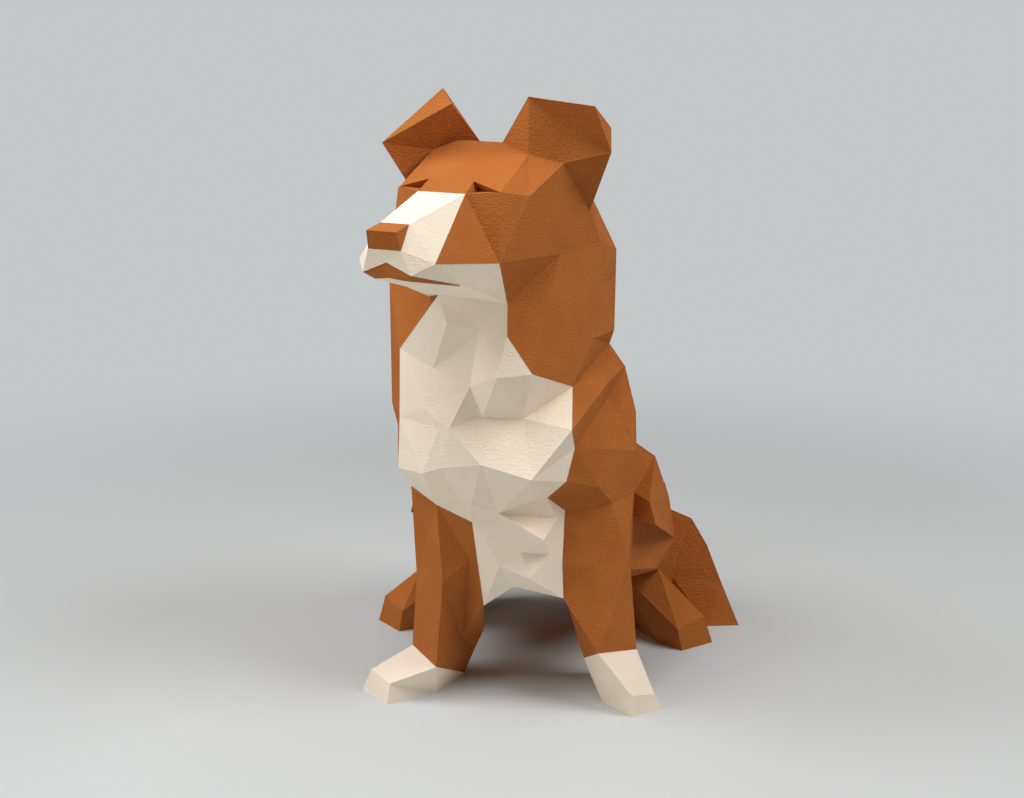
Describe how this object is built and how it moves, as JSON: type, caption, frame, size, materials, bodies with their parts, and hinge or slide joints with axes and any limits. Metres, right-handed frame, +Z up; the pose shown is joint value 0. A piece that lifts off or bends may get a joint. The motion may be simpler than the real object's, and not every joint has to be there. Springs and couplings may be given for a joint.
{
  "type": "papercraft dog",
  "caption": "Hollow low-poly papercraft dog that sits on its haunches with its head turned, folded from brown and cream card; a standing ornament.",
  "frame": {"origin": "on the floor under the middle of the dog's overall box", "axes": "+Z up, -Y the way its chest faces, +X its own left side; its head is turned to its right"},
  "size_m": [0.304, 0.3596, 0.4601],
  "materials": {
    "brown_card": "matte",
    "cream_card": "matte"
  },
  "bodies": {
    "root": {"head_front": "brown_card", "head_back": "brown_card", "ear_left": "brown_card", "ear_right": "brown_card", "nose": "brown_card", "mouth": "brown_card", "ruff_left": "brown_card", "ruff_right": "brown_card", "front_leg_left": "brown_card", "front_leg_right": "brown_card", "back": "brown_card", "haunch_left": "brown_card", "haunch_right": "brown_card", "hind_foot_left": "brown_card", "hind_foot_right": "brown_card", "tail": "brown_card", "belly": "brown_card", "muzzle": "cream_card", "lower_jaw": "cream_card", "chest_bib": "cream_card", "lower_bib": "cream_card", "front_paw_left": "cream_card", "front_paw_right": "cream_card"}
  },
  "joints": []
}
